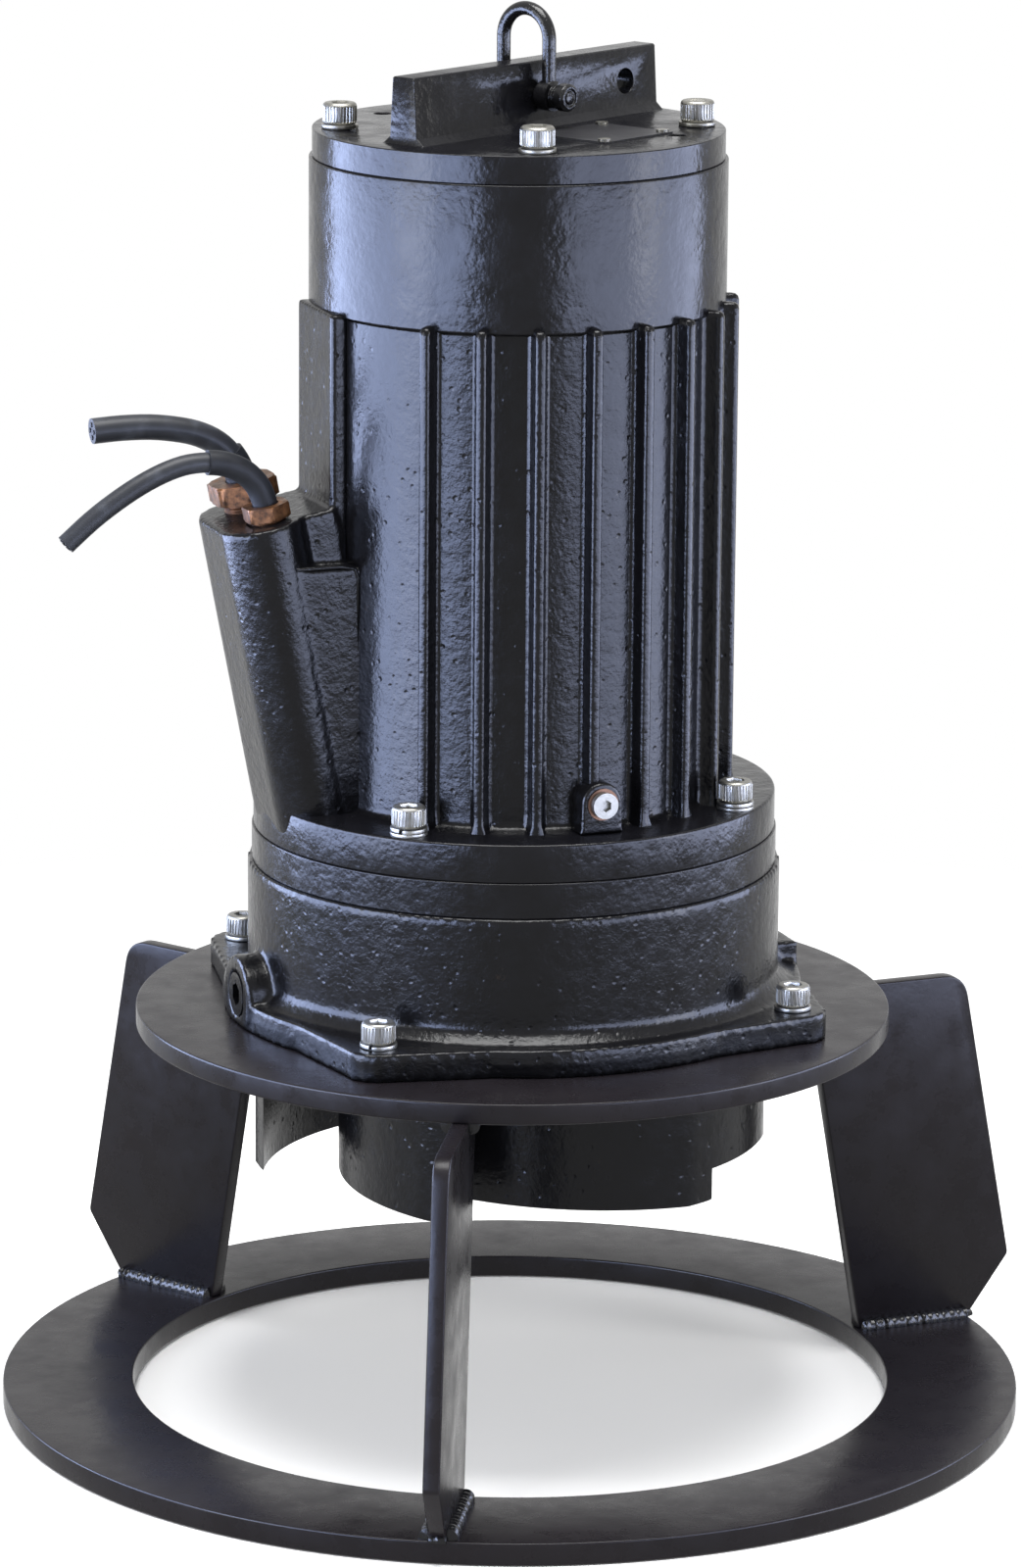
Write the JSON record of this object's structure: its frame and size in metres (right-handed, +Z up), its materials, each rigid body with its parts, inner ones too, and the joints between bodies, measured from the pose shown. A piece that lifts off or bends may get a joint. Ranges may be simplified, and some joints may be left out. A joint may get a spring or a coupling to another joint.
{
  "type": "submersible agitator",
  "caption": "Black cast submersible motor on a round deck plate with legs and a base ring; it turns a curved-vane impeller under the deck, with a lifting bar, shackle and cable stubs.",
  "frame": {"origin": "on the motor axis, level with the underside of the base ring (centre of the ring's bore)", "axes": "+Z up along the motor axis, -Y towards the picture's viewer, +X to the viewer's right; the cable turret points to -X with some -Y"},
  "size_m": [0.5027, 0.5202, 0.6881],
  "materials": {
    "cable_rubber": "matte blue grey rubber",
    "cast_paint": "gloss black paint on cast iron",
    "copper": "soft copper",
    "dark_steel": "ground steel",
    "gland_brass": "worn copper brass",
    "laminations": "stacked sheet steel",
    "machined": "thin black paint on turned iron",
    "plate_paint": "satin black paint on plate steel",
    "seal_face": "lapped carbon ceramic",
    "seal_rubber": "matte black rubber",
    "stainless": "bright stainless steel",
    "tag": "bare dark tag",
    "winding": "lacquered copper wire"
  },
  "bodies": {
    "housing": {"base_ring": "plate_paint", "leg_right": "plate_paint", "leg_left": "plate_paint", "leg_front": "plate_paint", "weld_beads": "cast_paint", "deck_plate": "plate_paint", "oil_casing": "cast_paint", "oil_plug": "cast_paint", "foot_screws": "stainless", "foot_washers": "stainless", "bearing_bracket": "machined", "casing_oring": "seal_rubber", "frame_oring": "seal_rubber", "motor_frame": "cast_paint", "flange_screws": "stainless", "flange_washers": "stainless", "flange_flat_washers": "stainless", "check_plug": "stainless", "check_gasket": "copper", "stator_core": "laminations", "stator_coils": "winding", "motor_lid": "cast_paint", "lid_oring": "seal_rubber", "lid_screws": "stainless", "lid_washers": "stainless", "nameplate": "tag", "nameplate_rivets": "stainless", "lower_bearing_outer": "dark_steel", "bearing_circlip": "dark_steel", "upper_bearing_outer": "dark_steel", "wave_spring": "dark_steel", "lip_seal": "seal_rubber", "lower_seal_seat": "seal_face", "upper_seal_seat": "seal_face", "power_gland": "gland_brass", "power_gland_nut": "gland_brass", "power_grommet": "seal_rubber", "power_cable": "cable_rubber", "power_sleeve": "seal_rubber", "control_gland": "gland_brass", "control_gland_nut": "gland_brass", "control_grommet": "seal_rubber", "control_cable": "cable_rubber", "control_sleeve": "seal_rubber"},
    "rotor": {"shaft": "dark_steel", "rotor_core": "laminations", "rotor_end_rings": "stainless", "impeller": "cast_paint", "impeller_key": "dark_steel", "impeller_washer": "stainless", "impeller_bolt": "stainless", "lower_bearing_inner": "dark_steel", "upper_bearing_inner": "dark_steel", "lower_seal_ring": "seal_face", "upper_seal_ring": "seal_face", "seal_bellows": "seal_rubber"},
    "lower_balls": {"lower_ball_set": "dark_steel"},
    "upper_balls": {"upper_ball_set": "dark_steel"},
    "shackle": {"shackle_bow": "cast_paint", "shackle_pin": "cast_paint"}
  },
  "joints": [
    {"name": "rotor_spin", "type": "hinge", "parent": "housing", "child": "rotor", "pos_m": [0, 0, 0.3], "axis": [0, 0, 1], "continuous": true},
    {"name": "lower_balls_orbit", "type": "hinge", "parent": "housing", "child": "lower_balls", "pos_m": [0, 0, 0.2865], "axis": [0, 0, 1], "continuous": true},
    {"name": "upper_balls_orbit", "type": "hinge", "parent": "housing", "child": "upper_balls", "pos_m": [0, 0, 0.5985], "axis": [0, 0, 1], "continuous": true},
    {"name": "shackle_swing", "type": "hinge", "parent": "housing", "child": "shackle", "pos_m": [0.00321, 0.00383, 0.6446], "axis": [-0.766, 0.6428, 0], "range_deg": [-60, 60]}
  ],
  "couplings": [
    {"joint": "lower_balls_orbit", "follows": "rotor_spin", "ratio": 0.3824},
    {"joint": "upper_balls_orbit", "follows": "rotor_spin", "ratio": 0.3805}
  ]
}
